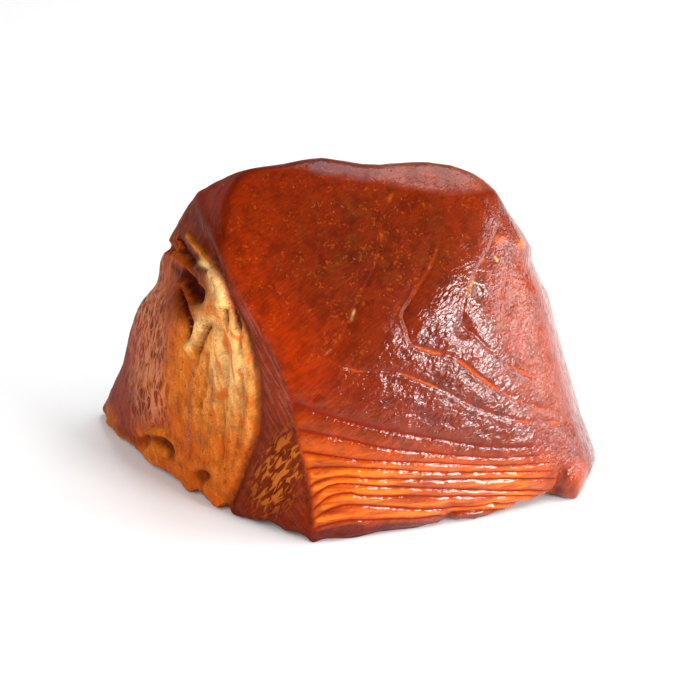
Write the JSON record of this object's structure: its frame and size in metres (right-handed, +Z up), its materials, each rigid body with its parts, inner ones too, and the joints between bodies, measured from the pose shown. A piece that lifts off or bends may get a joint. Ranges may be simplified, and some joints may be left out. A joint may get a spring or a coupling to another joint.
{
  "type": "hot smoked tuna chunk",
  "caption": "Wedge-shaped chunk of hot smoked tuna loin with a broad leaning cut face, a ridge, a folded fatty side, a narrow crest and a flat resting face.",
  "frame": {"origin": "centre of the bounding box at the resting plane, z = 0 on the flat resting face", "axes": "+X along the longest side, to the right of someone who faces the broad cut face; -Y towards that person; +Z up, away from the resting face"},
  "size_m": [0.1478, 0.0898, 0.1031],
  "materials": {
    "smoked_flesh": "moist, glossy, red-brown smoked flesh with golden fat on one side"
  },
  "bodies": {
    "root": {"smoked_tuna_chunk": "smoked_flesh"}
  },
  "joints": []
}
